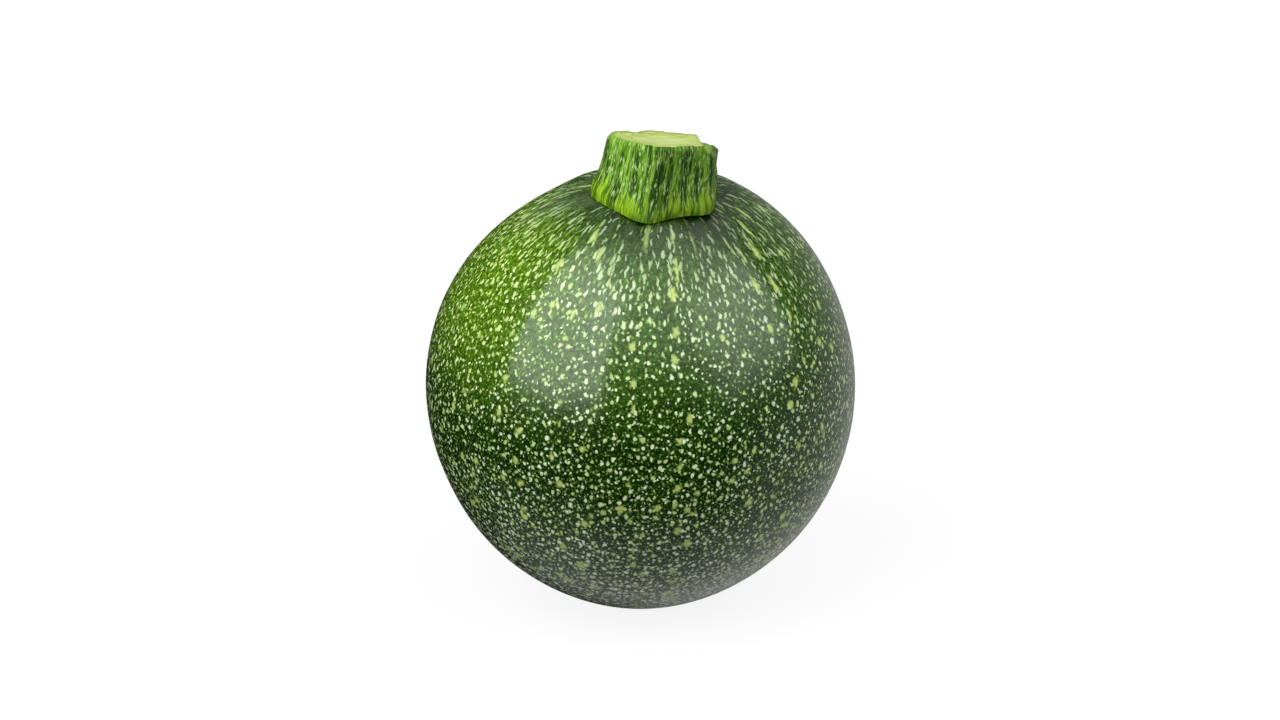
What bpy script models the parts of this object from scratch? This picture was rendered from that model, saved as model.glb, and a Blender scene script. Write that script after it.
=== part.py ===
"""A round courgette: one ribbed fruit with the stub of its cut stem on the crown.

Units are metres and +Z is up. The origin is on the surface that the fruit stands on,
under the middle of its resting ring. The stem points up and leans a little.
Angles are measured about +Z from +X, and the front of the fruit faces -Y.
"""
import math

import bpy

# The fruit's turned outline: one superellipse quarter above the widest height, one below
FRUIT_RADIUS = 0.0400
WIDEST_HEIGHT = 0.0419
CROWN_RISE = 0.0420
CROWN_HEIGHT_POWER = 1.88
CROWN_RADIUS_POWER = 1.81
BASE_DROP = 0.0435
BASE_HEIGHT_POWER = 2.07
BASE_RADIUS_POWER = 1.82
CROWN_SHIFT = 0.0030        # how far to +X the crown's middle is from the resting ring's
CROWN_DIP = 0.0030          # the dip in the crown, out of which the stem grows
CROWN_DIP_RADIUS = 0.0115

# Five soft ribs run down from the stem's corners and fade out below the widest height
RIB_ANGLES = tuple(math.radians(degrees) for degrees in (-196, -96, -40, 16, 92))
RIB_SWELL = 0.014           # share of the radius by which a rib stands out, on the shoulder
RIB_SWELL_AT_WIDEST = 0.006
RIB_FADE_DROP = 0.6         # share of the base's drop at which the ribs are gone
SHOULDER_RISE = 0.35        # share of the crown's rise above which the ribs are full

# The blossom end: a flat ring to rest on, round a shallow hollow
HOLLOW_RADIUS = 0.0055
HOLLOW_DEPTH = 0.0012

# The stem stub
STEM_CORNER_ANGLES = tuple(math.radians(degrees) for degrees in (-188, -98, -38, 34, 105))
STEM_CORNER = 0.075         # share of the radius by which a corner stands out
STEM_FOOT_X = 0.0030        # the foot's middle, measured from the resting ring's
STEM_FOOT_Y = -0.0027
STEM_FOOT_RADIUS = 0.0113   # where the stem spreads onto the crown
STEM_TOP_RADIUS = 0.0097
STEM_FLARE_HEIGHT = 0.0055  # how quickly the spread foot narrows
STEM_LIP = 0.0004           # the rounded lip round the foot
STEM_LIP_HEIGHT = 0.0015
STEM_LEAN_X = 0.0016        # from the foot to the cut end
STEM_LEAN_Y = 0.0036
CUT_HEIGHT = 0.0901         # the middle of the cut end, above the surface below the fruit
CUT_SLOPE_X = -0.05         # the cut end drops a little to +X, and more to the back
CUT_SLOPE_Y = -0.25
RIM_ROUND = 0.0006          # how far the cut end's rim is rounded off

GAP = 0.0003                # between the stem's foot and the crown
SEGMENTS = 90
HOLLOW_RINGS = 3
BASE_RINGS = 14
CROWN_RINGS = 18
FOOT_RINGS = 4
WALL_RINGS = 12
SHARP_ANGLE = math.radians(40)


def clear_scene():
    for thing in list(bpy.data.objects):
        bpy.data.objects.remove(thing, do_unlink=True)


def material(name, colour, roughness):
    made = bpy.data.materials.new(name)
    made.use_nodes = True
    surface = made.node_tree.nodes["Principled BSDF"]
    surface.inputs["Base Color"].default_value = (*colour, 1.0)
    surface.inputs["Roughness"].default_value = roughness
    surface.inputs["Metallic"].default_value = 0.0
    return made


def corner_wave(angle, corners):
    """1 at each corner angle, and -1 halfway between two neighbouring corners."""
    turn = (angle - corners[0]) % math.tau
    for first, second in zip(corners, (*corners[1:], corners[0] + math.tau)):
        span = second - first
        if turn <= span:
            return math.cos(math.tau * turn / span)
        turn -= span
    return 1.0


def rib_swell(rise):
    """How far the ribs stand out: full on the shoulder, fading out below the widest height."""
    if rise < 0:
        return RIB_SWELL_AT_WIDEST * max(0.0, 1 + rise / RIB_FADE_DROP)
    share = min(1.0, rise / SHOULDER_RISE)
    return RIB_SWELL_AT_WIDEST + (RIB_SWELL - RIB_SWELL_AT_WIDEST) * share


def skin_radius(angle, rise):
    """The skin's distance from the axis; rise runs from -1 at the base to 1 at the crown."""
    if rise < 0:
        ratio = (1 - (-rise) ** BASE_HEIGHT_POWER) ** (1 / BASE_RADIUS_POWER)
    else:
        ratio = (1 - rise ** CROWN_HEIGHT_POWER) ** (1 / CROWN_RADIUS_POWER)
    return FRUIT_RADIUS * ratio * (1 + rib_swell(rise) * corner_wave(angle, RIB_ANGLES))


def skin_height(radius, rise):
    """The height above the surface below the fruit, with the dip in the crown."""
    if rise < 0:
        return WIDEST_HEIGHT + BASE_DROP * rise
    dip = CROWN_DIP * math.exp(-(radius / CROWN_DIP_RADIUS) ** 3)
    return WIDEST_HEIGHT + CROWN_RISE * rise - dip


def axis_shift(rise):
    """How far to +X the crown has moved, at a share of its rise."""
    return CROWN_SHIFT * max(0.0, rise) ** 3


def skin_point(angle, rise):
    radius = skin_radius(angle, rise)
    x = axis_shift(rise) + radius * math.cos(angle)
    return x, radius * math.sin(angle), skin_height(radius, rise)


def crown_height(x, y):
    """The height of the crown over a point, found by halving the rise."""
    low, high = 0.3, 1.0
    for _ in range(40):
        rise = (low + high) / 2
        offset = x - axis_shift(rise)
        radius = math.hypot(offset, y)
        if skin_radius(math.atan2(y, offset), rise) > radius:
            low = rise
        else:
            high = rise
    return skin_height(radius, low)


def ring(point_at):
    """The points of one ring, from a function of the angle."""
    return [point_at(math.tau * step / SEGMENTS) for step in range(SEGMENTS)]


def closed_solid(name, first_tip, rings, last_tip, surface):
    """A closed mesh: a fan at the first tip, bands between the rings, a fan at the last."""
    points = [first_tip]
    for one_ring in rings:
        points.extend(one_ring)
    points.append(last_tip)
    last = len(points) - 1
    top = last - SEGMENTS
    faces = []
    for step in range(SEGMENTS):
        after = (step + 1) % SEGMENTS
        faces.append((0, 1 + after, 1 + step))
        for lower in range(1, top, SEGMENTS):
            upper = lower + SEGMENTS
            faces.append((lower + step, lower + after, upper + after, upper + step))
        faces.append((top + step, top + after, last))
    mesh = bpy.data.meshes.new(name)
    mesh.from_pydata(points, [], faces)
    mesh.shade_smooth()
    mesh.set_sharp_from_angle(angle=SHARP_ANGLE)
    mesh.materials.append(surface)
    made = bpy.data.objects.new(name, mesh)
    bpy.context.scene.collection.objects.link(made)
    return made


def hollow_rings():
    """The hollow at the blossom end, down to the inner edge of the flat resting ring."""
    rings = []
    for step in range(1, HOLLOW_RINGS + 1):
        share = step / HOLLOW_RINGS
        radius = HOLLOW_RADIUS * share
        height = HOLLOW_DEPTH * (1 - share ** 2)
        rings.append(ring(lambda a: (radius * math.cos(a), radius * math.sin(a), height)))
    return rings


def skin_rings():
    """From the outer edge of the resting ring up to just short of the crown's middle."""
    start = math.asin(-WIDEST_HEIGHT / BASE_DROP)
    rises = [math.sin(start * (1 - step / BASE_RINGS)) for step in range(BASE_RINGS)]
    rises += [math.sin(math.pi / 2 * step / CROWN_RINGS) for step in range(CROWN_RINGS)]
    return [ring(lambda a: skin_point(a, rise)) for rise in rises]


def make_fruit():
    surface = material("skin", (0.035, 0.100, 0.018), 0.38)
    crown_middle = (CROWN_SHIFT, 0.0, skin_height(0.0, 1.0))
    return closed_solid("fruit", (0.0, 0.0, HOLLOW_DEPTH), hollow_rings() + skin_rings(),
                        crown_middle, surface)


def stem_corner(angle):
    """The share of the radius at an angle: five rounded corners with flatter sides."""
    wave = corner_wave(angle, STEM_CORNER_ANGLES)
    return 1 + STEM_CORNER * (wave + 0.25 * wave ** 2 - 0.125)


def foot_point(angle, share):
    """A point of the underside, which follows the crown a gap above it."""
    radius = STEM_FOOT_RADIUS * stem_corner(angle) * share
    x = STEM_FOOT_X + radius * math.cos(angle)
    y = STEM_FOOT_Y + radius * math.sin(angle)
    return x, y, crown_height(x, y) + GAP


def cut_point(angle, radius):
    """A point of the sloping cut end, at a distance from its middle."""
    x = radius * math.cos(angle)
    y = radius * math.sin(angle)
    height = CUT_HEIGHT + CUT_SLOPE_X * x + CUT_SLOPE_Y * y
    return STEM_FOOT_X + STEM_LEAN_X + x, STEM_FOOT_Y + STEM_LEAN_Y + y, height


def rim_radius(angle):
    return STEM_TOP_RADIUS * stem_corner(angle)


def wall_point(angle, share):
    """A point of the side, at a share of the way up from the foot to the cut end."""
    foot_height = foot_point(angle, 1.0)[2]
    length = cut_point(angle, rim_radius(angle))[2] - RIM_ROUND - foot_height
    climb = share * length
    spread = (STEM_FOOT_RADIUS - STEM_TOP_RADIUS) * math.exp(-climb / STEM_FLARE_HEIGHT)
    lip = STEM_LIP * math.sin(math.pi * min(1.0, climb / (2 * STEM_LIP_HEIGHT)))
    radius = (STEM_TOP_RADIUS + spread) * stem_corner(angle) + lip
    x = STEM_FOOT_X + STEM_LEAN_X * share + radius * math.cos(angle)
    y = STEM_FOOT_Y + STEM_LEAN_Y * share + radius * math.sin(angle)
    return x, y, foot_height + climb


def make_stem():
    surface = material("stem_skin", (0.110, 0.230, 0.030), 0.55)
    underside = [ring(lambda a: foot_point(a, step / FOOT_RINGS))
                 for step in range(1, FOOT_RINGS + 1)]
    walls = [ring(lambda a: wall_point(a, (step / WALL_RINGS) ** 1.25))
             for step in range(1, WALL_RINGS + 1)]
    rim = ring(lambda a: cut_point(a, rim_radius(a) - RIM_ROUND))
    face = ring(lambda a: cut_point(a, rim_radius(a) / 2))
    foot_middle = foot_point(0.0, 0.0)
    return closed_solid("stem", foot_middle, underside + walls + [rim, face],
                        cut_point(0.0, 0.0), surface)


def build():
    clear_scene()
    make_fruit()
    make_stem()


build()
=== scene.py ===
"""The looks of the round courgette: its flecked skin, its cut stem, and a pale studio.

Lengths are metres in the frame's own axes, +Z up. Angles are about +Z from +X, and the
front of the fruit faces -Y. Mesh attributes that place a pattern are in millimetres.
"""
import math

import bpy
import numpy as np
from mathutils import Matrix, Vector, noise


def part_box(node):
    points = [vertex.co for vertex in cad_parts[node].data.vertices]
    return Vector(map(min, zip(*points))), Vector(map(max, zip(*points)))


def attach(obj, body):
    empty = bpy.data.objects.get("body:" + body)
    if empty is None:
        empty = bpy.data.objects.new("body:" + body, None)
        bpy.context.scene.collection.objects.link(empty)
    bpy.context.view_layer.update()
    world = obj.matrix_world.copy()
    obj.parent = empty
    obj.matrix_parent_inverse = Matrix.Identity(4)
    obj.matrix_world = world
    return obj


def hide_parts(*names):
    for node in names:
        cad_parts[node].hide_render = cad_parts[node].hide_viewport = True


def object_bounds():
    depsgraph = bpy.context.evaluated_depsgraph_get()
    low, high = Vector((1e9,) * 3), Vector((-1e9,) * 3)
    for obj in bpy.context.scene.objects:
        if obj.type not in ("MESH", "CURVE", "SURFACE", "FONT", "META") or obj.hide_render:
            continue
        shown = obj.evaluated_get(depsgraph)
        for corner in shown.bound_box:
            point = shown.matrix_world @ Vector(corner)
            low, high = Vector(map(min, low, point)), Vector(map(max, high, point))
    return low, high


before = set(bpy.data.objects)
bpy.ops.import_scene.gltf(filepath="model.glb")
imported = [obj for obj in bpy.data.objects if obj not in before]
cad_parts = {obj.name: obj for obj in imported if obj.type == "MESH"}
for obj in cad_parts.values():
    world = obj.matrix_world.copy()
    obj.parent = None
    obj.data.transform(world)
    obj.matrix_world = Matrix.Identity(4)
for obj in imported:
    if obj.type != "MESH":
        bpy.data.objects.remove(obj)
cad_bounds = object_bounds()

MM = 1000.0
fruit_low, fruit_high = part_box("fruit")

# The fruit's outline, as the CAD has it: a superellipse quarter above the widest height
# and one below, sized from the fruit's own box
FRUIT_HEIGHT = fruit_high.z - fruit_low.z
FRUIT_RADIUS = 0.4945 * FRUIT_HEIGHT
WIDEST_HEIGHT = 0.518 * FRUIT_HEIGHT
CROWN_RISE = 0.519 * FRUIT_HEIGHT
CROWN_POWERS = (1.88, 1.81)     # of the height and of the radius
BASE_DROP = 0.5377 * FRUIT_HEIGHT
BASE_POWERS = (2.07, 1.82)
CROWN_SHIFT = 0.0030            # how far to +X the crown's middle is from the base's
CROWN_DIP = 0.0030              # the dip in the crown, out of which the stem grows
CROWN_DIP_RADIUS = 0.0115
HOLLOW_RADIUS = 0.0055          # the hollow at the blossom end
HOLLOW_DEPTH = 0.0012
OUTLINE_BLUR = 0.0007           # the length over which the outline's corners are rounded
HOLLOW_POINTS = 300             # how finely the outline is worked out, before it is divided
OUTLINE_POINTS = 3000
EVEN_POINTS = 4000

# The ribs. The looks have one more than the CAD, at the front left
RIB_ANGLES = np.radians((-196, -131, -101, -40, 16, 92))
CAD_RIB_ANGLES = np.radians((-196, -96, -40, 16, 92))
RIB_SPAN = math.radians(72)     # between two ribs this far apart, the furrow has its full depth
RIB_SWELL = 0.014               # share of the radius by which a rib stands out, on the shoulder
RIB_SWELL_AT_WIDEST = 0.006
RIB_FADE_DROP = 0.6             # share of the base's drop at which the ribs are gone
SHOULDER_RISE = 0.35            # share of the crown's rise above which the ribs are full

# The skin's lumps, and the puckers that run out from the stem's foot
COARSE_LUMPS = 0.00035
COARSE_LUMPS_PER_METRE = 38
FINE_LUMPS = 0.00010
FINE_LUMPS_PER_METRE = 95
CREASE_DEPTH = 0.00045
CREASE_START = 0.012            # the distance from the axis at which they begin to fade
CREASE_FADE = 0.011

# Where the skin's colours change, and where light and shade are painted on it. Widths are in
# radians
FLANK_ANGLE = math.radians(-165)    # the middle of the lighter flank
FLANK_WIDTH = 0.85
# The side towards the key light: the pale flecks are painted brighter there, and painted darker on
# the far side
PAINTED_LIGHT_ANGLE = math.radians(-140)    # the side on which the pale flecks are palest
# Painted shade darkens the green near the stem's foot; on the stem's left, painted light makes it
# lighter there instead
NEAR_STEM_REACH = 14                # in millimetres, within which the green is darker
NEAR_STEM_PAINTED_SHADE = 0.40
LEFT_ANGLE = math.pi                # but on this side it is lighter there
LEFT_WIDTH = 0.5
LEFT_PAINTED_LIGHT = 0.80
VEIN_LINES = 22                     # meridians that carry the large flecks
VEIN_WIDTH = math.radians(3.0)

# The blossom scar
SCAR_RADIUS = 0.0038
SCAR_EDGE = 0.0006              # the width over which it blends into the skin
SCAR_RISE = 0.00022
SCAR_ROUGHNESS = 0.00007
KNOB_RADIUS = 0.0009            # the small knob in its middle
KNOB_RISE = 0.00030
SCAR_CRACKS = 9
CRACK_DEPTH = 0.00025
CRACK_WIDTHS = (0.00006, 0.00022)   # the least and the greatest
CRACK_STARTS = (0.1, 0.6)           # their distances from the middle, as shares of the radius
CRACK_START_BLEND = 0.0004
CRACK_WANDER = 0.22                 # in radians

# How finely the fruit is divided. SCAR_ROWS of the rows along the skin lie within
# SCAR_REACH of the base's middle
FRUIT_AROUND = 360
FRUIT_ALONG = 264
SCAR_ROWS = 32
SCAR_REACH = 0.006

# The stem
STEM_CORNER_ANGLES = np.radians((-188, -98, -38, 34, 105))
STEM_CORNER = 0.075             # share of the radius by which a corner stands out
STEM_FOOT = Vector((0.0030, -0.0027))
STEM_TOP = Vector((0.0046, 0.0009))
STEM_FOOT_RADIUS = 0.0113
STEM_TOP_RADIUS = 0.0097
STEM_FLARE_HEIGHT = 0.0055      # how quickly the spread foot narrows
STEM_LIP = 0.0004               # the rounded lip round the foot
STEM_LIP_SCALLOP = 0.00022
STEM_LIP_HEIGHT = 0.0015
COARSE_FIBRES = 0.00026         # how far the fibres stand out
COARSE_FIBRES_PER_METRE = 620
FINE_FIBRES = 0.00013
FINE_FIBRES_PER_METRE = 1500
FIBRE_FULL = 0.0004             # a fibre that stands out this far counts as 1
FIBRE_RADIUS = 0.0105           # of the tube on which the fibres' pattern is made
FIBRE_SQUEEZE = 0.10            # what heights are multiplied by, so that fibres come out long
COLOUR_SQUEEZE = 0.14           # the same for their colours
GAP = 0.0003                    # between the stem's foot and the crown

# The stem's cut end
CUT_HEIGHT = 0.0901
CUT_SLOPE = Vector((-0.05, -0.25))
RIM_ROUND = 0.0006
RIM_CREST = 0.0002              # how far the rind stands above the flesh
PITH_SINK = 0.0005              # how far the middle has sunk
CHIP_START = 0.0063             # the cut steps down here, on the +X side of the cut end's middle
CHIP_DEPTH = 0.0015
CHIP_WIDTH = 0.0009
CHIP_SLANT = 0.0875             # how far the step's edge moves to -X for each unit to +Y
RAISED_ANGLE = math.radians(160)    # the side on which the rim was left higher
RAISED_WIDTH = 0.55
RIM_RAISE = 0.0005
RIM_RAGGEDNESS = 0.00022
COARSE_SAWING = 0.00014         # how rough the cut is
COARSE_SAWING_PER_METRE = 900
FINE_SAWING = 0.00004
FINE_SAWING_PER_METRE = 2200

# How finely the stem is divided
STEM_AROUND = 420
STEM_ALONG = 110
STEM_ALONG_POWER = 1.15         # more than 1, so that the rows are closer near the foot
STEM_UNDERSIDE_ROWS = 8

BASE_ARC = 125.4                # along the skin from the crown's middle to the base's, in mm
CAMERA_ELEVATION = math.radians(24)
CAMERA_LENS = 180.0
PICTURE_ASPECT = 720 / 1280
FRAME_HEIGHT = 0.134            # what the picture's height spans at the courgette


def srgb(red, green, blue):
    """A linear colour from display values of 0 to 255."""
    return tuple(((c / 255 + 0.055) / 1.055) ** 2.4 if c > 10 else c / 3294.6
                 for c in (red, green, blue))


def smooth(low, high, value):
    """A smooth step from 0 at low to 1 at high."""
    share = np.clip((value - low) / (high - low), 0, 1)
    return share * share * (3 - 2 * share)


def noise_at(points, seed):
    """Smooth noise from -1 to 1 at each row of points, different for each seed."""
    shift = Vector((17.3 * seed, -9.1 * seed, 4.7 * seed))
    flat = points.reshape(-1, 3)
    values = [noise.noise(Vector(point) + shift) for point in flat]
    return np.array(values).reshape(points.shape[:-1])


# ---------------------------------------------------------------- node helpers

class Nodes:
    """A node tree with short calls for the nodes that the materials use."""

    def __init__(self, tree):
        self.tree = tree

    def add(self, kind, inputs=None, **settings):
        node = self.tree.nodes.new("ShaderNode" + kind)
        for name, value in settings.items():
            setattr(node, name, value)
        for name, value in (inputs or {}).items():
            self.feed(node.inputs[name], value)
        return node

    def feed(self, socket, value):
        if isinstance(value, bpy.types.NodeSocket):
            self.tree.links.new(value, socket)
        else:
            socket.default_value = value

    def attribute(self, name, output="Vector"):
        return self.add("Attribute", attribute_name=name).outputs[output]

    def math(self, operation, *values):
        node = self.add("Math", operation=operation)
        for socket, value in zip(node.inputs, values):
            self.feed(socket, value)
        return node.outputs[0]

    def vector(self, operation, *values, output="Vector"):
        node = self.add("VectorMath", operation=operation)
        for socket, value in zip(node.inputs, values):
            self.feed(socket, value)
        return node.outputs[output]

    def scaled(self, vector, factor):
        node = self.add("VectorMath", {"Vector": vector, "Scale": factor}, operation="SCALE")
        return node.outputs["Vector"]

    def step(self, value, low, high, to_low=0.0, to_high=1.0):
        """A smooth step of value between low and high, which may be sockets."""
        node = self.add("MapRange", {"Value": value, "From Min": low, "From Max": high,
                                     "To Min": to_low, "To Max": to_high},
                        interpolation_type="SMOOTHSTEP")
        return node.outputs["Result"]

    def mix(self, factor, first, second):
        node = self.add("Mix", data_type="RGBA")
        self.feed(node.inputs["Factor"], factor)
        self.feed(node.inputs["A"], first if not isinstance(first, tuple) else (*first, 1))
        self.feed(node.inputs["B"], second if not isinstance(second, tuple) else (*second, 1))
        return node.outputs["Result"]

    def noise(self, vector, scale, detail=2.0, roughness=0.5, output="Fac"):
        node = self.add("TexNoise", {"Vector": vector, "Scale": scale, "Detail": detail,
                                     "Roughness": roughness})
        return node.outputs[output]

    def between(self, value, low, high, soft):
        """1 between low and high, and 0 outside, with edges soft on either side."""
        rising = self.step(value, low - soft, low + soft)
        return self.math("MULTIPLY", rising, self.step(value, high - soft, high + soft, 1.0, 0.0))


def new_material(name):
    """A new material, its nodes, and its Principled BSDF."""
    made = bpy.data.materials.new(name)
    made.use_nodes = True
    nodes = Nodes(made.node_tree)
    return made, nodes, made.node_tree.nodes["Principled BSDF"]


# ---------------------------------------------------------------- skin's material

# Flecks lie in two flat maps, one round the crown and one round the base. A map gives
# each point of the skin a place in millimetres, with attributes for how many real
# millimetres one unit is across and down the meridian there. They meet at SPLIT.
SPLIT = 74.0                # along the skin from the crown's middle, in millimetres
SPREAD_START = 12.0         # the crown's map leaves out a disc under the stem
SPREAD_RATE = 0.50
SPREAD_GROWTH = 0.00274


def crown_spread(from_crown):
    """How far from the map's middle the crown's flecks lie, in millimetres. It grows
    slowly near the stem, so that cells there come out long and narrow."""
    return SPREAD_START + SPREAD_RATE * from_crown + SPREAD_GROWTH * from_crown ** 2


MAPS = {"crown": crown_spread(SPLIT), "base": BASE_ARC - SPLIT}     # each with its edge
NO_SPOT = 100.0             # added to a share to hide a spot

# The greens under the flecks, as linear values, then the flecks' and the scar's colours
BELLY_GREEN = (0.0065, 0.028, 0.0007)
SHOULDER_GREEN = (0.032, 0.082, 0.004)
FLANK_GREEN = (0.070, 0.164, 0.005)
DULL_GREEN = srgb(64, 106, 20)
LIGHT_GREEN = srgb(126, 158, 82)
YELLOW_GREEN = srgb(172, 198, 112)
LIGHT_YELLOW = srgb(184, 202, 108)
PALE = srgb(216, 235, 196)
FAINT_PALE = srgb(124, 144, 108)
BRIGHT_PALE = srgb(232, 250, 168)
BRIGHT_DULL = srgb(110, 154, 16)
BRIGHT_YELLOW = srgb(188, 224, 96)
WHITISH = srgb(240, 248, 236)
SCAR_RING = srgb(122, 148, 62)
CORK_DARK = srgb(138, 118, 70)
CORK_LIGHT = srgb(196, 180, 130)
CORK_GRIT = srgb(96, 78, 44)
CORK_CRACK = srgb(70, 54, 28)


class FleckMap:
    """The sockets of one map, wobbled a little so that no fleck is a plain ellipse. Its
    flecks lie within the limit, and are larger by the growth."""

    def __init__(self, nodes, object_place, name, limit, growth):
        self.nodes = nodes
        self.object_place = object_place
        self.limit = limit
        place = nodes.attribute(name + "_place")
        self.outward = nodes.vector("NORMALIZE", place)
        self.sideways = nodes.vector("CROSS_PRODUCT", (0, 0, 1), self.outward)
        self.across = nodes.math("DIVIDE", nodes.attribute(name + "_across", "Fac"), growth)
        self.down = nodes.math("DIVIDE", nodes.attribute(name + "_down", "Fac"), growth)
        swirl = nodes.noise(object_place, 900.0, detail=1.0, output="Color")
        centred = nodes.vector("SUBTRACT", swirl, (0.5, 0.5, 0.5))
        self.place = nodes.vector("ADD", place, nodes.vector("MULTIPLY", centred, (0.9, 0.9, 0)))

    def flecks(self, cell, widths, stretch, chance, thin=1.0, ragged=0.5, swing=0.0):
        """Spots, one to a cell: (share, tint). The share is 1 at a spot's edge and grows
        outwards. Widths are the least and greatest half width in millimetres, stretch is
        how many times longer than wide, thin is what the width is multiplied by, and swing
        is the most that a spot turns away from the meridian. Stretch, chance and thin may
        be sockets."""
        nodes = self.nodes
        cells = nodes.add("TexVoronoi", {"Vector": self.place, "Scale": 1 / cell,
                                         "Randomness": 0.78}, voronoi_dimensions="2D")
        randoms = nodes.add("SeparateColor", {"Color": cells.outputs["Color"]}).outputs
        centre = cells.outputs["Position"]
        offset = nodes.vector("SUBTRACT", self.place, centre)
        out = nodes.vector("DOT_PRODUCT", offset, self.outward, output="Value")
        side = nodes.vector("DOT_PRODUCT", offset, self.sideways, output="Value")
        out = nodes.math("MULTIPLY", out, self.down)
        side = nodes.math("DIVIDE", nodes.math("MULTIPLY", side, self.across), thin)
        turn = nodes.math("MULTIPLY_ADD", randoms["Blue"], 2 * swing, -swing)
        cosine, sine = nodes.math("COSINE", turn), nodes.math("SINE", turn)
        long = nodes.math("SUBTRACT", nodes.math("MULTIPLY", out, cosine),
                          nodes.math("MULTIPLY", side, sine))
        wide = nodes.math("ADD", nodes.math("MULTIPLY", side, cosine),
                          nodes.math("MULTIPLY", out, sine))
        long = nodes.math("DIVIDE", long, stretch)
        reach = nodes.math("SQRT", nodes.math("ADD", nodes.math("MULTIPLY", wide, wide),
                                              nodes.math("MULTIPLY", long, long)))
        half = nodes.math("MULTIPLY_ADD", randoms["Red"], widths[1] - widths[0], widths[0])
        share = nodes.math("DIVIDE", reach, half)
        fray = nodes.noise(self.object_place, 0.9 * MM / (widths[0] + widths[1]))
        share = nodes.math("ADD", share, nodes.math("MULTIPLY_ADD", fray, 2 * ragged, -ragged))
        outside = nodes.math("GREATER_THAN", nodes.vector("LENGTH", centre, output="Value"),
                             self.limit)
        missing = nodes.math("GREATER_THAN", randoms["Green"], chance)
        hidden = nodes.math("MAXIMUM", outside, missing)
        share = nodes.math("MULTIPLY_ADD", hidden, NO_SPOT, share)
        return share, nodes.math("FRACT", nodes.math("MULTIPLY", randoms["Blue"], 7.3))


def skin_green(nodes, object_place, flank):
    """The green under the flecks: dark below, lighter on the shoulder and on the flank."""
    patches = nodes.noise(object_place, 70.0, detail=3.0)
    patches = nodes.math("MULTIPLY_ADD", patches, 0.5, -0.25)
    tone = nodes.math("ADD", nodes.attribute("tone", "Fac"), patches)
    colour = nodes.mix(nodes.step(tone, 0.0, 1.0), BELLY_GREEN, SHOULDER_GREEN)
    colour = nodes.mix(flank, colour, FLANK_GREEN)
    grain = nodes.noise(object_place, 1400.0, roughness=0.6)
    shade = nodes.step(grain, 0.35, 0.70, 0.5, 1.5)
    # The grain is random tone; the shade attribute is painted shade near the stem's foot and
    # painted light on its left
    shade = nodes.math("MULTIPLY", shade, nodes.attribute("shade", "Fac"))
    return nodes.scaled(colour, shade)


def fleck_colours(nodes, along, flank, beside):
    """The flecks' colours: (dull, light, pale, yellow). They are brighter on the flank,
    whiter near the base, and fainter beside the stem. The pale ones are dimmer on the side
    turned from the key light, which is painted shade."""
    faint = nodes.step(beside, 1.0, 20.0, 0.95, 0.0)
    dull = nodes.mix(flank, DULL_GREEN, BRIGHT_DULL)
    light = nodes.mix(flank, LIGHT_GREEN, BRIGHT_YELLOW)
    light = nodes.mix(nodes.step(along, 0.55, 0.78, 0.0, 0.7), light, PALE)
    light = nodes.mix(faint, light, DULL_GREEN)
    pale = nodes.mix(flank, PALE, BRIGHT_PALE)
    pale = nodes.mix(nodes.step(along, 0.55, 0.78), pale, WHITISH)
    # Painted shade: the pale flecks are dimmer the further they turn from the key light
    pale = nodes.scaled(pale, nodes.step(nodes.attribute("painted_light_side", "Fac"), 0.1, 0.8, 0.55, 1.0))
    pale = nodes.mix(faint, pale, FAINT_PALE)
    yellow = nodes.mix(faint, YELLOW_GREEN, FAINT_PALE)
    return dull, light, pale, yellow


def flecked_colour(nodes, object_place, along, flank, beside):
    """The green under four sizes of fleck, which are long and narrow beside the stem."""
    colour = skin_green(nodes, object_place, flank)
    dull, light, pale, yellow = fleck_colours(nodes, along, flank, beside)
    near_stem = nodes.step(beside, -5.0, 24.0, 1.0, 0.0)
    stretch = nodes.math("MULTIPLY_ADD", near_stem, 4.0, 1.1)
    thin = nodes.step(beside, 0.0, 22.0, 0.66, 1.0)
    growth = nodes.step(along, 0.55, 0.80, 1.0, 1.45)

    crowd = nodes.step(beside, 0.0, 10.0, 0.32, 1.0)
    small_chance = nodes.math("MULTIPLY", crowd, nodes.math("MULTIPLY_ADD", flank, 0.16, 0.82))
    middle_chance = nodes.math("MULTIPLY", crowd, nodes.math("MULTIPLY_ADD", flank, 0.22, 0.72))
    vein = nodes.step(nodes.attribute("vein", "Fac"), 0.2, 0.8, 0.06, 0.8)
    on_veins = nodes.math("MULTIPLY", vein, nodes.step(along, 0.30, 0.50, 1.0, 0.4))
    large_chance = nodes.math("ADD", on_veins, nodes.step(along, 0.30, 0.50, 0.0, 0.16))
    dust_strength = nodes.math("MAXIMUM", nodes.step(along, 0.20, 0.46, 0.45, 1.0), flank)
    large_strength = nodes.step(beside, 0.0, 12.0, 0.35, 1.0)

    for name, limit in MAPS.items():
        spots = FleckMap(nodes, object_place, name, limit, growth)
        share, tint = spots.flecks(0.80, (0.07, 0.14), 1.6, crowd, swing=1.1)
        dust = nodes.math("MULTIPLY", nodes.step(share, 0.3, 1.7, 0.70, 0.0), dust_strength)
        colour = nodes.mix(dust, colour, nodes.mix(tint, dull, light))
        share, tint = spots.flecks(1.10, (0.11, 0.22), stretch, small_chance, thin, swing=0.5)
        colour = nodes.mix(nodes.step(share, 0.5, 1.5, 0.95, 0.0), colour,
                           nodes.mix(nodes.step(tint, 0.3, 1.0), light, pale))
        share, tint = spots.flecks(1.75, (0.215, 0.365), stretch, middle_chance, thin, swing=0.2)
        colour = nodes.mix(nodes.step(share, 0.6, 1.4, 1.0, 0.0), colour,
                           nodes.mix(tint, yellow, pale))
        share, tint = spots.flecks(3.8, (0.42, 0.68), stretch, large_chance, thin, ragged=1.3)
        large = nodes.math("MULTIPLY", nodes.step(share, 0.3, 1.5, 0.9, 0.0), large_strength)
        colour = nodes.mix(large, colour, nodes.mix(tint, YELLOW_GREEN, LIGHT_YELLOW))
    return colour


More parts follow.
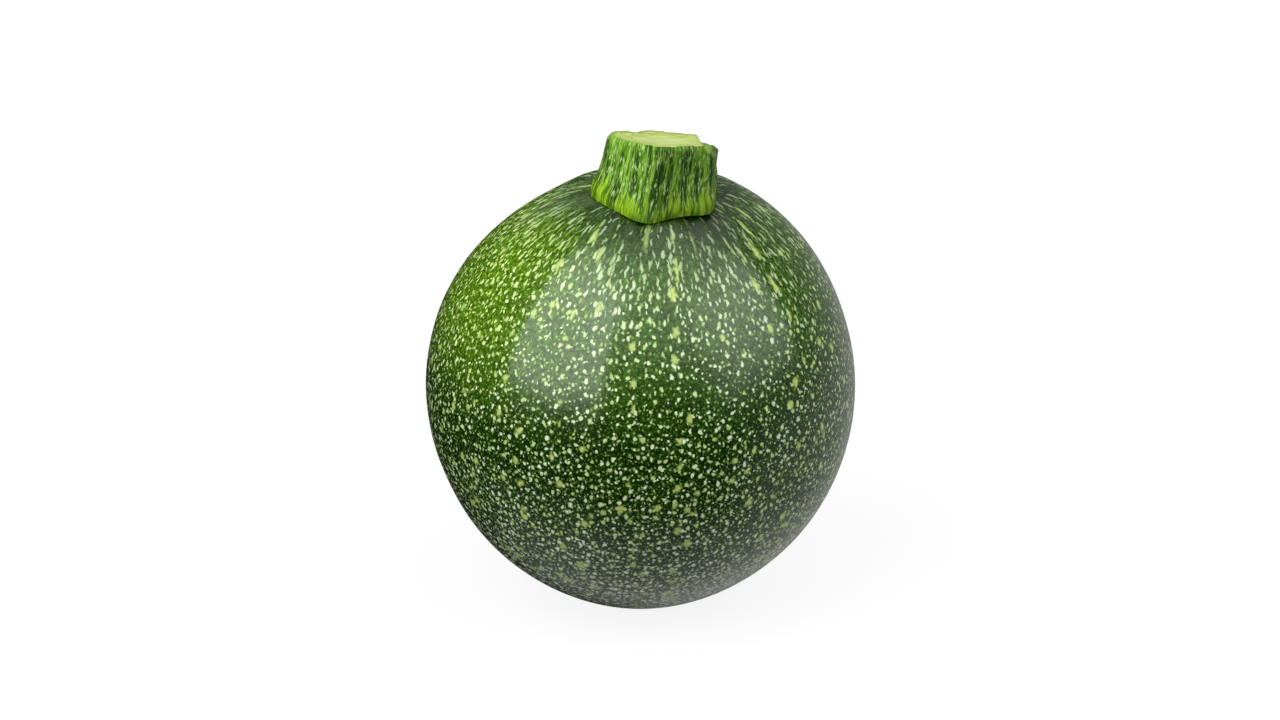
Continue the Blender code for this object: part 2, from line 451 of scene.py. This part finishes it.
def scar_colour(nodes, object_place, along, colour):
    """The colour with a yellow-green ring and a tan, cracked scar on the blossom end."""
    blotch = nodes.noise(object_place, 420.0, detail=3.0)
    ring_edge = nodes.math("MULTIPLY_ADD", blotch, 0.06, along)
    ring = nodes.step(ring_edge, 0.955, 1.005, 0.0, 0.75)
    colour = nodes.mix(ring, colour, SCAR_RING)
    grit = nodes.noise(object_place, 2600.0, detail=3.0, roughness=0.7)
    cork = nodes.mix(nodes.step(blotch, 0.35, 0.65), CORK_DARK, CORK_LIGHT)
    cork = nodes.mix(nodes.step(grit, 0.46, 0.62, 0.0, 0.6), cork, CORK_GRIT)
    crack = nodes.math("MULTIPLY", nodes.attribute("crack", "Fac"), 0.75)
    cork = nodes.mix(crack, cork, CORK_CRACK)
    return nodes.mix(nodes.attribute("scar", "Fac"), colour, cork)


def skin_colour(nodes, object_place):
    """The flecked skin, with painted shade in the puckers and against the stem's foot, and its
    scar.
    """
    along = nodes.attribute("along", "Fac")
    flank = nodes.attribute("flank", "Fac")
    beside = nodes.attribute("beside", "Fac")
    painted_crease_shade = nodes.attribute("painted_crease_shade", "Fac")
    colour = flecked_colour(nodes, object_place, along, flank, beside)
    # Painted shade in the puckers' hollows
    colour = nodes.scaled(colour, nodes.step(painted_crease_shade, 0.1, 0.8, 1.0, 0.40))
    # Painted contact shadow on the crown, against the stem's foot
    colour = nodes.scaled(colour, nodes.step(beside, 0.0, 0.9, 0.75, 1.0))
    return scar_colour(nodes, object_place, along, colour)


def skin_material():
    """The skin's colour with a soft gloss, duller on the scar, and a fine bump."""
    made, nodes, surface = new_material("skin")
    object_place = nodes.add("TexCoord").outputs["Object"]
    nodes.feed(surface.inputs["Base Color"], skin_colour(nodes, object_place))
    polish = nodes.noise(object_place, 350.0)
    gloss = nodes.step(polish, 0.2, 0.8, 0.20, 0.28)
    scar = nodes.attribute("scar", "Fac")
    nodes.feed(surface.inputs["Roughness"], nodes.math("MULTIPLY_ADD", scar, 0.5, gloss))
    surface.inputs["Specular Tint"].default_value = (0.92, 1.0, 0.92, 1)
    relief = nodes.noise(object_place, 800.0, detail=3.0)
    bump = nodes.add("Bump", {"Height": relief, "Strength": 0.10, "Distance": 0.0003})
    nodes.feed(surface.inputs["Normal"], bump.outputs["Normal"])
    return made


# ---------------------------------------------------------------- fruit's shape

def circle_points(angles):
    """The points of the unit circle at each angle, at height 0."""
    return np.stack([np.cos(angles), np.sin(angles), np.zeros_like(angles)], axis=1)


def turn_between(angles, middle):
    """The size of the turn from each angle to a middle angle, up to half a circle."""
    return np.abs((angles - middle + math.pi) % math.tau - math.pi)


def corner_span(angles, corners):
    """How far each angle is past the corner before it, and the span to the next corner."""
    bounds = np.append(corners, corners[0] + math.tau)
    turn = corners[0] + (angles - corners[0]) % math.tau
    index = np.clip(np.searchsorted(bounds, turn, side="right") - 1, 0, len(corners) - 1)
    return turn - bounds[index], np.diff(bounds)[index]


def corner_wave(angles, corners):
    """1 at each corner angle, and -1 halfway between two neighbouring corners."""
    past, span = corner_span(angles, corners)
    return np.cos(math.tau * past / span)


def rib_wave(angles):
    """1 on each rib, whose ridge is narrow, and lower between the ribs the wider apart."""
    past, span = corner_span(angles, RIB_ANGLES)
    return 1 - 2 * span / RIB_SPAN * np.sin(math.pi * past / span) ** 1.3


def rib_swell(rise):
    """How far the ribs stand out, as a share of the radius."""
    above = np.clip(rise / SHOULDER_RISE, 0, 1)
    below = np.clip(1 + rise / RIB_FADE_DROP, 0, 1)
    full = RIB_SWELL_AT_WIDEST + (RIB_SWELL - RIB_SWELL_AT_WIDEST) * above
    return np.where(rise < 0, RIB_SWELL_AT_WIDEST * below, full)


def fruit_outline():
    """The profile from the middle of the hollow to the crown, as rows of radius, height
    and rise, with the length along the skin to each row."""
    start = math.asin(-WIDEST_HEIGHT / BASE_DROP)
    rise = np.sin(np.linspace(start, math.pi / 2, OUTLINE_POINTS))
    below = (1 - np.clip(-rise, 0, 1) ** BASE_POWERS[0]) ** (1 / BASE_POWERS[1])
    above = (1 - np.clip(rise, 0, 1) ** CROWN_POWERS[0]) ** (1 / CROWN_POWERS[1])
    radius = FRUIT_RADIUS * np.where(rise < 0, below, above)
    height = WIDEST_HEIGHT + np.where(rise < 0, BASE_DROP, CROWN_RISE) * rise
    height -= CROWN_DIP * np.exp(-(radius / CROWN_DIP_RADIUS) ** 3) * (rise > 0)
    hollow = np.linspace(0, 1, HOLLOW_POINTS)
    radius = np.concatenate([HOLLOW_RADIUS * hollow, radius])
    height = np.concatenate([HOLLOW_DEPTH * (1 - hollow ** 2), height])
    rise = np.concatenate([np.full_like(hollow, rise[0]), rise])
    return even(np.stack([radius, height, rise], axis=1))


def even(path):
    """The path with its corners rounded, at steps of length that are even, but finer
    across the scar at its start. Also gives the length to each step."""
    length = np.concatenate([[0], np.cumsum(np.hypot(*np.diff(path[:, :2], axis=0).T))])
    steps = np.linspace(0, length[-1], EVEN_POINTS)
    fine = np.stack([np.interp(steps, length, column) for column in path.T], axis=1)
    reach = int(OUTLINE_BLUR / (steps[1] - steps[0]))
    window = np.hanning(2 * reach + 1)
    window /= window.sum()
    padded = np.pad(fine, ((reach, reach), (0, 0)), mode="reflect", reflect_type="odd")
    soft = np.stack([np.convolve(column, window, "valid") for column in padded.T], axis=1)
    picks = np.append(np.linspace(0, SCAR_REACH, SCAR_ROWS),
                      np.linspace(SCAR_REACH, length[-1], FRUIT_ALONG - SCAR_ROWS + 1)[1:])
    picked = np.stack([np.interp(picks, steps, column) for column in soft.T], axis=1)
    return picked, picks


def fruit_points():
    """The skin's points as [along, around], with the attributes that place its pattern."""
    outline, length = fruit_outline()
    radius, height, rise = outline.T
    angles = np.linspace(0, math.tau, FRUIT_AROUND, endpoint=False)
    around = circle_points(angles)
    round_points = around[None] * radius[:, None, None]
    round_points[:, :, 2] = height[:, None]

    lumps = (noise_at(round_points * COARSE_LUMPS_PER_METRE, 1) * COARSE_LUMPS
             + noise_at(round_points * FINE_LUMPS_PER_METRE, 2) * FINE_LUMPS)
    lumps *= smooth(0.004, 0.02, height)[:, None]
    creases = crease_depth(angles, radius[:, None], rise[:, None])
    scar, crack, relief = scar_shape(angles, radius[:, None], round_points)
    swell = 1 + rib_swell(rise)[:, None] * rib_wave(angles)[None, :]
    body_radius = radius[:, None] * swell + lumps - creases * 0.5
    shift = CROWN_SHIFT * np.clip(rise, 0, 1)[:, None] ** 3
    x = shift + body_radius * around[None, :, 0]
    y = body_radius * around[None, :, 1]
    z = round_points[:, :, 2] - creases * smooth(0.5, 1.0, rise)[:, None] - relief

    from_crown = (length[-1] - length) * MM
    along = (from_crown / from_crown[0])[:, None]
    beside = beside_stem(x, y, rise[:, None])
    attributes = {
        "along": along,
        "tone": smooth(0.54, 0.18, along),
        "flank": flank_share(along, angles),
        "vein": vein_lines(angles)[None, :],
        "beside": beside,
        # shade: painted shade near the stem's foot, and painted light on its left
        "shade": painted_stem_shade(beside, angles),
        # How deep the puckers are, which sets the painted shade in them
        "painted_crease_shade": np.clip(creases / CREASE_DEPTH, 0, 1),
        # Painted light: 1 towards the key light, 0 on the far side
        "painted_light_side": 0.5 + 0.5 * np.cos(angles - PAINTED_LIGHT_ANGLE)[None, :],
        "scar": scar,
        "crack": crack,
    }
    attributes.update(map_attributes(around, radius, from_crown))
    attributes = {label: np.broadcast_to(values, (FRUIT_ALONG, FRUIT_AROUND, *values.shape[2:]))
                  for label, values in attributes.items()}
    return np.stack([x, y, z], axis=2), attributes


def map_attributes(around, radius, from_crown):
    """The attributes that FleckMap reads, for both maps."""
    spreads = {"crown": crown_spread(from_crown), "base": BASE_ARC - from_crown}
    attributes = {}
    for name, spread in spreads.items():
        attributes[name + "_place"] = around[None] * spread[:, None, None]
        across = radius * MM / np.maximum(spread, 1.0)
        attributes[name + "_across"] = across[:, None]
        down = 1 / np.maximum(np.abs(np.gradient(spread, from_crown)), 0.05)
        attributes[name + "_down"] = down[:, None]
    return attributes


def flank_share(along, angles):
    """1 on the flank where the skin is lighter, from the shoulder down, and 0 elsewhere."""
    around = np.exp(-(turn_between(angles, FLANK_ANGLE) / FLANK_WIDTH) ** 2)
    return smooth(0.09, 0.20, along) * smooth(0.48, 0.32, along) * around[None, :]


def vein_lines(angles):
    """1 on the meridians that carry the large flecks, and 0 between them."""
    spacing = math.tau / VEIN_LINES
    shifts = np.random.default_rng(7).uniform(-0.25, 0.25, VEIN_LINES)
    lines = (np.arange(VEIN_LINES) + shifts) * spacing
    nearest = np.min([turn_between(angles, line) for line in lines], axis=0)
    return np.exp(-(nearest / VEIN_WIDTH) ** 2)


def beside_stem(x, y, rise):
    """How far the skin's points lie outside the stem's foot, in millimetres. Below the
    widest height it is one value, too far from the stem for any effect."""
    east, north = x - STEM_FOOT.x, y - STEM_FOOT.y
    foot = STEM_FOOT_RADIUS * stem_corner(np.arctan2(north, east))
    return np.where(rise > 0, np.hypot(east, north) - foot, FRUIT_RADIUS) * MM


def painted_stem_shade(beside, angles):
    """What the skin's green is multiplied by: painted shade, less than 1, near the stem's foot, and
    on its left painted light, up to more than 1.
    """
    left = np.exp(-(turn_between(angles, LEFT_ANGLE) / LEFT_WIDTH) ** 2)
    near = NEAR_STEM_PAINTED_SHADE + LEFT_PAINTED_LIGHT * left
    return near + (1 - near) * smooth(0, NEAR_STEM_REACH, beside)


def scar_shape(angles, radius, places):
    """The blossom scar: (share, crack share, how far it stands out). A rough disc with a
    small knob in its middle, split by cracks that run out from it."""
    circle = circle_points(angles)
    edge = SCAR_RADIUS * (1 + 0.16 * noise_at(circle * 1.9, 21) + 0.08 * noise_at(circle * 6, 24))
    inside = smooth(edge, edge - SCAR_EDGE, radius)
    share = np.where(places[:, :, 2] < WIDEST_HEIGHT, inside, 0)
    rng = np.random.default_rng(11)
    lines = (np.arange(SCAR_CRACKS) + rng.uniform(-0.3, 0.3, SCAR_CRACKS)) * math.tau
    lines = lines / SCAR_CRACKS
    widths = rng.uniform(*CRACK_WIDTHS, SCAR_CRACKS)
    starts = rng.uniform(*CRACK_STARTS, SCAR_CRACKS) * SCAR_RADIUS
    wander = noise_at(places * 700, 22)
    crack = np.zeros(share.shape)
    for line, width, start in zip(lines, widths, starts):
        beside = turn_between(angles + CRACK_WANDER * wander, line) * radius
        begun = smooth(start - CRACK_START_BLEND, start, radius)
        crack = np.maximum(crack, np.exp(-(beside / width) ** 2) * begun)
    crack *= share
    knob = np.exp(-(radius / KNOB_RADIUS) ** 4)
    rough = noise_at(places * 1100, 23)
    relief = share * (SCAR_RISE + KNOB_RISE * knob + SCAR_ROUGHNESS * rough) - CRACK_DEPTH * crack
    return share, crack, relief


def crease_depth(angles, radius, rise):
    """Fine puckers that run out from the stem's foot over the shoulder."""
    circle = circle_points(angles)
    pucker = np.clip(noise_at(circle * 3.3, 5) * 1.6, -1, 1) + 0.5 * noise_at(circle * 8.0, 6)
    fade = np.exp(-np.clip(radius - CREASE_START, 0, None) / CREASE_FADE) * (rise > 0.5)
    return CREASE_DEPTH * pucker[None, :] * fade


def grid_mesh(name, points, attributes, material):
    """A closed mesh of rings: fans at both ends, and bands of quads between them."""
    along, around = points.shape[:2]
    inner = points[1:-1].reshape(-1, 3)
    verts = np.concatenate([points[:1].mean(axis=1), inner, points[-1:].mean(axis=1)])
    faces = []
    rows = along - 2
    for i in range(around):
        after = (i + 1) % around
        faces.append((0, 1 + after, 1 + i))
        for row in range(rows - 1):
            lower = 1 + row * around
            faces.append((lower + i, lower + after, lower + around + after, lower + around + i))
        top = 1 + (rows - 1) * around
        faces.append((top + i, top + after, len(verts) - 1))
    mesh = bpy.data.meshes.new(name)
    mesh.from_pydata(verts.tolist(), [], faces)
    mesh.shade_smooth()
    for label, values in attributes.items():
        wide = values if values.ndim == 3 else values[:, :, None]
        ends = [wide[:1].mean(axis=1), wide[1:-1].reshape(-1, wide.shape[2]),
                wide[-1:].mean(axis=1)]
        flat = np.concatenate(ends).astype(np.float32)
        kind, slot = ("FLOAT_VECTOR", "vector") if values.ndim == 3 else ("FLOAT", "value")
        mesh.attributes.new(label, kind, "POINT").data.foreach_set(slot, flat.ravel())
    mesh.materials.append(material)
    made = bpy.data.objects.new(name, mesh)
    bpy.context.scene.collection.objects.link(made)
    return made


def make_fruit():
    """The flecked skin, which is shown in place of the CAD's fruit."""
    points, attributes = fruit_points()
    fruit = grid_mesh("fruit_skin", points, attributes, skin_material())
    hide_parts("fruit")
    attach(fruit, "root")


# ---------------------------------------------------------------- stem's shape

def stem_corner(angles):
    """The share of the radius at each angle: five rounded corners with flatter sides."""
    wave = corner_wave(angles, STEM_CORNER_ANGLES)
    return 1 + STEM_CORNER * (wave + 0.25 * wave ** 2 - 0.125)


def skin_radius(angles, rise):
    """The CAD skin's distance from its axis, above the widest height."""
    above = (1 - np.clip(rise, 0, 1) ** CROWN_POWERS[0]) ** (1 / CROWN_POWERS[1])
    return FRUIT_RADIUS * above * (1 + rib_swell(rise) * corner_wave(angles, CAD_RIB_ANGLES))


def crown_height(x, y):
    """The height of the crown over each point, found by halving the rise."""
    low, high = np.full(x.shape, 0.3), np.ones(x.shape)
    for _ in range(40):
        rise = (low + high) / 2
        offset = x - CROWN_SHIFT * rise ** 3
        radius = np.hypot(offset, y)
        inside = skin_radius(np.arctan2(y, offset), rise) > radius
        low, high = np.where(inside, rise, low), np.where(inside, high, rise)
    dip = CROWN_DIP * np.exp(-(radius / CROWN_DIP_RADIUS) ** 3)
    return WIDEST_HEIGHT + CROWN_RISE * low - dip


def step_down(x, y):
    """How far the cut steps down on its +X side, where the stem's edge snapped off."""
    return CHIP_DEPTH * smooth(CHIP_START, CHIP_START + CHIP_WIDTH, x + CHIP_SLANT * y)


def cut_height(x, y):
    """The height of the sloping cut over points measured from the cut end's middle."""
    return CUT_HEIGHT + CUT_SLOPE.x * x + CUT_SLOPE.y * y - step_down(x, y)


class StemOutline:
    """The stem's foot and rim, with one value for each angle round it. Its rings are
    tuples: x, y, z, how far a fibre stands out there, the climb from the foot, and how far
    inward from the rim as a share."""

    def __init__(self):
        angles = np.linspace(0, math.tau, STEM_AROUND, endpoint=False)
        self.circle = circle_points(angles)
        self.cosines, self.sines = self.circle[:, 0], self.circle[:, 1]
        self.corner = stem_corner(angles)
        self.foot_radius = STEM_FOOT_RADIUS * self.corner
        self.top_radius = STEM_TOP_RADIUS * self.corner
        foot_x = STEM_FOOT.x + self.foot_radius * self.cosines
        foot_y = STEM_FOOT.y + self.foot_radius * self.sines
        self.foot_height = crown_height(foot_x, foot_y) + GAP
        near_raised = np.exp(-(turn_between(angles, RAISED_ANGLE) / RAISED_WIDTH) ** 2)
        self.raised = RIM_RAISE * near_raised - RIM_RAGGEDNESS * noise_at(self.circle * 2.6, 14)
        rim = cut_height(self.top_radius * self.cosines, self.top_radius * self.sines)
        self.rim_height = rim + self.raised

    def underside(self):
        """Rings from the foot's middle out to its edge, a gap above the crown."""
        for share in np.arange(STEM_UNDERSIDE_ROWS) / STEM_UNDERSIDE_ROWS:
            x = STEM_FOOT.x + self.foot_radius * share * self.cosines
            y = STEM_FOOT.y + self.foot_radius * share * self.sines
            yield x, y, crown_height(x, y) + GAP, 0.0, 0.0, 1 - share

    def wall(self):
        """Rings up the fibrous side, from the foot's lip to the rim."""
        scallop = noise_at(self.circle * 7.0, 11)
        for share in np.linspace(0, 1, STEM_ALONG) ** STEM_ALONG_POWER:
            climb = share * (self.rim_height - RIM_ROUND - self.foot_height)
            height = self.foot_height + climb
            spread = (STEM_FOOT_RADIUS - STEM_TOP_RADIUS) * np.exp(-climb / STEM_FLARE_HEIGHT)
            lip_turn = np.clip(climb / (2 * STEM_LIP_HEIGHT), 0, 1)
            lip = (STEM_LIP + STEM_LIP_SCALLOP * scallop) * np.sin(math.pi * lip_turn)
            radius = (STEM_TOP_RADIUS + spread) * self.corner + lip
            place = self.circle * FIBRE_RADIUS
            place[:, 2] = height * FIBRE_SQUEEZE
            fine_place = place * np.array((1, 1, 1.6))
            ridges = (COARSE_FIBRES * noise_at(place * COARSE_FIBRES_PER_METRE, 12)
                      + FINE_FIBRES * noise_at(fine_place * FINE_FIBRES_PER_METRE, 13))
            bare = smooth(0.0, 0.0022, climb) * (1 - 0.6 * smooth(0.85, 1.0, share))
            radius = radius + ridges * bare
            x = STEM_FOOT.x + (STEM_TOP.x - STEM_FOOT.x) * share + radius * self.cosines
            y = STEM_FOOT.y + (STEM_TOP.y - STEM_FOOT.y) * share + radius * self.sines
            yield x, y, height, ridges / FIBRE_FULL, climb, 0.0

    def cut_end(self):
        """Rings over the cut end, from the rim in to its middle, closer near the rim."""
        shares = np.concatenate([np.linspace(0, 0.2, 12), np.linspace(0.2, 1, 26)[1:]])
        for share in shares[:-1]:
            radius = (self.top_radius - RIM_ROUND * 0.5) * (1 - share)
            x, y = radius * self.cosines, radius * self.sines
            place = np.stack([x, y, 0 * x], axis=1)
            height = cut_height(x, y) + RIM_CREST * np.exp(-share / 0.05)
            height = height - PITH_SINK * smooth(0.25, 0.8, share)
            height += (COARSE_SAWING * noise_at(place * COARSE_SAWING_PER_METRE, 15)
                       + FINE_SAWING * noise_at(place * FINE_SAWING_PER_METRE, 16))
            height += self.raised * smooth(0.22, 0.12, share)
            inward = share * (1 - 0.8 * step_down(x, y) / CHIP_DEPTH)
            climb = self.rim_height - self.foot_height
            yield STEM_TOP.x + x, STEM_TOP.y + y, height, 0.0, climb, inward


def make_stem():
    """The fibrous stub, which is shown in place of the CAD's stem."""
    outline = StemOutline()
    rings = [*outline.underside(), *outline.wall(), *outline.cut_end()]
    x, y, z, ridge, climb, inward = (
        np.stack([np.broadcast_to(value, STEM_AROUND) for value in column])
        for column in zip(*rings))
    fibre = np.broadcast_to(outline.circle * FIBRE_RADIUS * MM, (len(rings), STEM_AROUND, 3)).copy()
    fibre[:, :, 2] = z * MM * COLOUR_SQUEEZE
    attributes = {"ridge": ridge, "climb": climb * MM, "inward": inward, "fibre": fibre}
    stem = grid_mesh("stem_stub", np.stack([x, y, z], axis=2), attributes, stem_material())
    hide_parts("stem")
    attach(stem, "root")


# ---------------------------------------------------------------- stem's material

RIND_DARK = srgb(20, 52, 6)
RIND_GREEN = srgb(82, 128, 18)
THREAD_LIGHT = srgb(124, 158, 66)
THREAD_DARK = srgb(24, 56, 8)
THREAD_PALE = srgb(166, 188, 122)
FOOT_DARK = srgb(52, 88, 6)
FOOT_GREEN = srgb(112, 144, 18)
FOOT_THREAD_DARK = srgb(54, 90, 4)
FOOT_THREAD_LIGHT = srgb(158, 186, 50)
FLESH_DARK = srgb(152, 170, 84)
FLESH_LIGHT = srgb(194, 204, 126)
PITH = srgb(188, 198, 134)
CUT_RIND = srgb(118, 148, 56)


def rind_colour(nodes, fibre, climb, middle, fine, thread):
    """The stem's side: dark and light green streaks and threads, bright green at the foot,
    and painted light: lighter on the left, towards the key light, darker on the right."""
    coarse = nodes.noise(fibre, 0.75, detail=1.0)
    short = nodes.noise(nodes.vector("MULTIPLY", fibre, (1, 1, 2)), 3.2, detail=1.0)
    streak = nodes.math("MULTIPLY_ADD", coarse, 0.55, nodes.math("MULTIPLY", middle, 0.45))
    streak = nodes.math("MULTIPLY_ADD", nodes.attribute("ridge", "Fac"), 0.06, streak)
    streak = nodes.math("ADD", streak, nodes.step(climb, 6.5, 11.0, 0.0, 0.07))
    colour = nodes.mix(nodes.step(streak, 0.42, 0.60), RIND_DARK, RIND_GREEN)
    colour = nodes.mix(nodes.step(thread, 0.49, 0.65, 0.0, 0.8), colour, THREAD_LIGHT)
    colour = nodes.mix(nodes.step(thread, 0.50, 0.36, 0.0, 0.8), colour, THREAD_DARK)
    colour = nodes.mix(nodes.step(short, 0.53, 0.72, 0.0, 0.75), colour, THREAD_PALE)

    foot_colour = nodes.mix(nodes.step(streak, 0.44, 0.60), FOOT_DARK, FOOT_GREEN)
    foot_colour = nodes.mix(nodes.step(thread, 0.46, 0.40, 0.0, 0.4), foot_colour,
                            FOOT_THREAD_DARK)
    foot_colour = nodes.mix(nodes.step(fine, 0.54, 0.66, 0.0, 0.6), foot_colour,
                            FOOT_THREAD_LIGHT)
    jagged = nodes.math("MULTIPLY_ADD", thread, -5.0, climb)
    jagged = nodes.math("MULTIPLY_ADD", coarse, -9.0, jagged)
    colour = nodes.mix(nodes.step(jagged, -5.2, -3.2, 0.92, 0.0), colour, foot_colour)
    # Painted light and shade: lighter on the side towards the key light, darker on the far side
    left = nodes.vector("DOT_PRODUCT", fibre, (-0.082, -0.048, 0.0), output="Value")
    return nodes.scaled(colour, nodes.step(left, 0.42, 1.0, 0.80, 1.52))


def flesh_colour(nodes, inward, saw):
    """The cut end: pale sawn flesh with a greener edge and a paler pith."""
    flesh = nodes.mix(nodes.step(saw, 0.35, 0.7), FLESH_DARK, FLESH_LIGHT)
    flesh = nodes.mix(nodes.step(inward, 0.25, 0.8, 0.0, 0.7), flesh, PITH)
    return nodes.mix(nodes.step(inward, 0.02, 0.16, 0.85, 0.0), flesh, CUT_RIND)


def stem_material():
    """The fibrous rind with the flesh of the cut end."""
    made, nodes, surface = new_material("stem")
    fibre = nodes.attribute("fibre")
    climb = nodes.attribute("climb", "Fac")
    inward = nodes.attribute("inward", "Fac")
    middle = nodes.noise(fibre, 1.7, detail=1.0)
    fine = nodes.noise(fibre, 3.8, roughness=0.6)
    thread = nodes.math("MULTIPLY_ADD", middle, 0.4, nodes.math("MULTIPLY", fine, 0.6))
    object_place = nodes.add("TexCoord").outputs["Object"]
    saw = nodes.vector("MULTIPLY", object_place, (0.25, 1.6, 1.0))
    saw = nodes.noise(saw, 1500.0, detail=3.0)
    cut = nodes.step(inward, 0.0, 0.02)
    colour = nodes.mix(cut, rind_colour(nodes, fibre, climb, middle, fine, thread),
                       flesh_colour(nodes, inward, saw))
    nodes.feed(surface.inputs["Base Color"], colour)

    nodes.feed(surface.inputs["Roughness"], nodes.step(fine, 0.3, 0.7, 0.40, 0.60))
    surface.inputs["Specular IOR Level"].default_value = 0.22
    surface.inputs["Specular Tint"].default_value = (0.6, 1.0, 0.4, 1)
    sawn = nodes.math("MULTIPLY_ADD", saw, 0.3, nodes.math("MULTIPLY", thread, -1.0))
    relief = nodes.math("MULTIPLY_ADD", cut, sawn, thread)
    bump = nodes.add("Bump", {"Height": relief, "Strength": 0.8, "Distance": 0.0005})
    nodes.feed(surface.inputs["Normal"], bump.outputs["Normal"])
    return made


# ---------------------------------------------------------------- studio

def make_world():
    """The studio's light by direction: a large softbox on the left, a weaker one on the
    right, two faint ones at the back, light from above, and a little from the table. The
    camera itself sees white."""
    world = bpy.data.worlds.new("studio")
    bpy.context.scene.world = world
    world.use_nodes = True
    world.node_tree.nodes.clear()
    nodes = Nodes(world.node_tree)
    direction = nodes.vector("NORMALIZE", nodes.add("TexCoord").outputs["Generated"])
    parts = nodes.add("SeparateXYZ", {"Vector": direction}).outputs
    turn = nodes.math("ARCTAN2", parts["X"], nodes.math("MULTIPLY", parts["Y"], -1.0))
    height = nodes.math("ARCSINE", parts["Z"])

    def softbox(turns, heights, soft, strength, lean=0.0):
        """Light between two turns from the front and two heights, in degrees. With a
        lean, the first edge moves that many degrees for each degree of height."""
        low, high, edge = (math.radians(value) for value in (*turns, soft))
        first = nodes.math("MULTIPLY_ADD", height, -lean, turn)
        shape = nodes.math("MULTIPLY", nodes.step(first, low - edge, low + edge),
                           nodes.step(turn, high - edge, high + edge, 1.0, 0.0))
        tall = nodes.between(height, *(math.radians(value) for value in (*heights, soft)))
        return nodes.math("MULTIPLY", nodes.math("MULTIPLY", shape, tall), strength)

    key = softbox((-61, -22), (9.5, 66), 5, 4.1, lean=-0.83)
    fill = softbox((43, 102), (12, 54), 8, 2.1)
    table_right = softbox((60, 175), (-60, 0), 20, 0.50)
    table_left = softbox((-110, -30), (-75, -35), 12, 0.15)
    back_right = softbox((130, 175), (9, 58), 15, 0.36)
    back_left = softbox((-178, -152), (10, 50), 8, 0.4)
    table_below = nodes.step(height, math.radians(-70), math.radians(-38), 0.47, 0.0)
    overhead = nodes.vector("DOT_PRODUCT", direction, (0.22, -0.22, 0.95), output="Value")
    total = nodes.step(overhead, math.cos(math.radians(58)), 1.0, 0.01, 1.6)
    for light in (key, fill, table_right, table_left, back_right, back_left, table_below):
        total = nodes.math("ADD", total, light)

    light = nodes.add("Background", {"Color": (1, 1, 1, 1), "Strength": total})
    seen = nodes.add("Background", {"Color": (1, 1, 1, 1), "Strength": 1.0})
    camera_ray = nodes.add("LightPath").outputs["Is Camera Ray"]
    mixed = nodes.add("MixShader", {0: camera_ray, 1: light.outputs[0], 2: seen.outputs[0]})
    output = nodes.add("OutputWorld")
    nodes.feed(output.inputs["Surface"], mixed.outputs[0])


def make_floor():
    """White paper with a faint shadow. The world holds the light that it throws back."""
    bpy.ops.mesh.primitive_plane_add(size=30.0, location=(0, 0, cad_bounds[0].z))
    floor = bpy.context.object
    floor.name = "floor"
    floor.visible_diffuse = False
    floor.visible_glossy = False
    floor.visible_shadow = False
    made, _, surface = new_material("floor_paper")
    surface.inputs["Base Color"].default_value = (0.12, 0.12, 0.12, 1)
    surface.inputs["Roughness"].default_value = 0.9
    surface.inputs["Specular IOR Level"].default_value = 0.0
    surface.inputs["Emission Color"].default_value = (1, 1, 1, 1)
    surface.inputs["Emission Strength"].default_value = 0.87
    floor.data.materials.append(made)


def make_camera():
    """A long lens at the photo's viewing angle, aimed at the middle of the CAD's box."""
    low, high = cad_bounds
    centre = (low + high) / 2
    data = bpy.data.cameras.new("camera")
    data.lens = CAMERA_LENS
    distance = FRAME_HEIGHT * CAMERA_LENS / (data.sensor_width * PICTURE_ASPECT)
    camera = bpy.data.objects.new("camera", data)
    back = Vector((0, -math.cos(CAMERA_ELEVATION), math.sin(CAMERA_ELEVATION)))
    camera.location = centre + back * distance
    camera.rotation_euler = (math.pi / 2 - CAMERA_ELEVATION, 0, 0)
    data.clip_start = 0.01
    data.clip_end = 100.0
    bpy.context.scene.collection.objects.link(camera)
    bpy.context.scene.camera = camera


make_camera()
make_world()
make_floor()
make_fruit()
make_stem()

bpy.context.scene.view_settings.view_transform = "Standard"
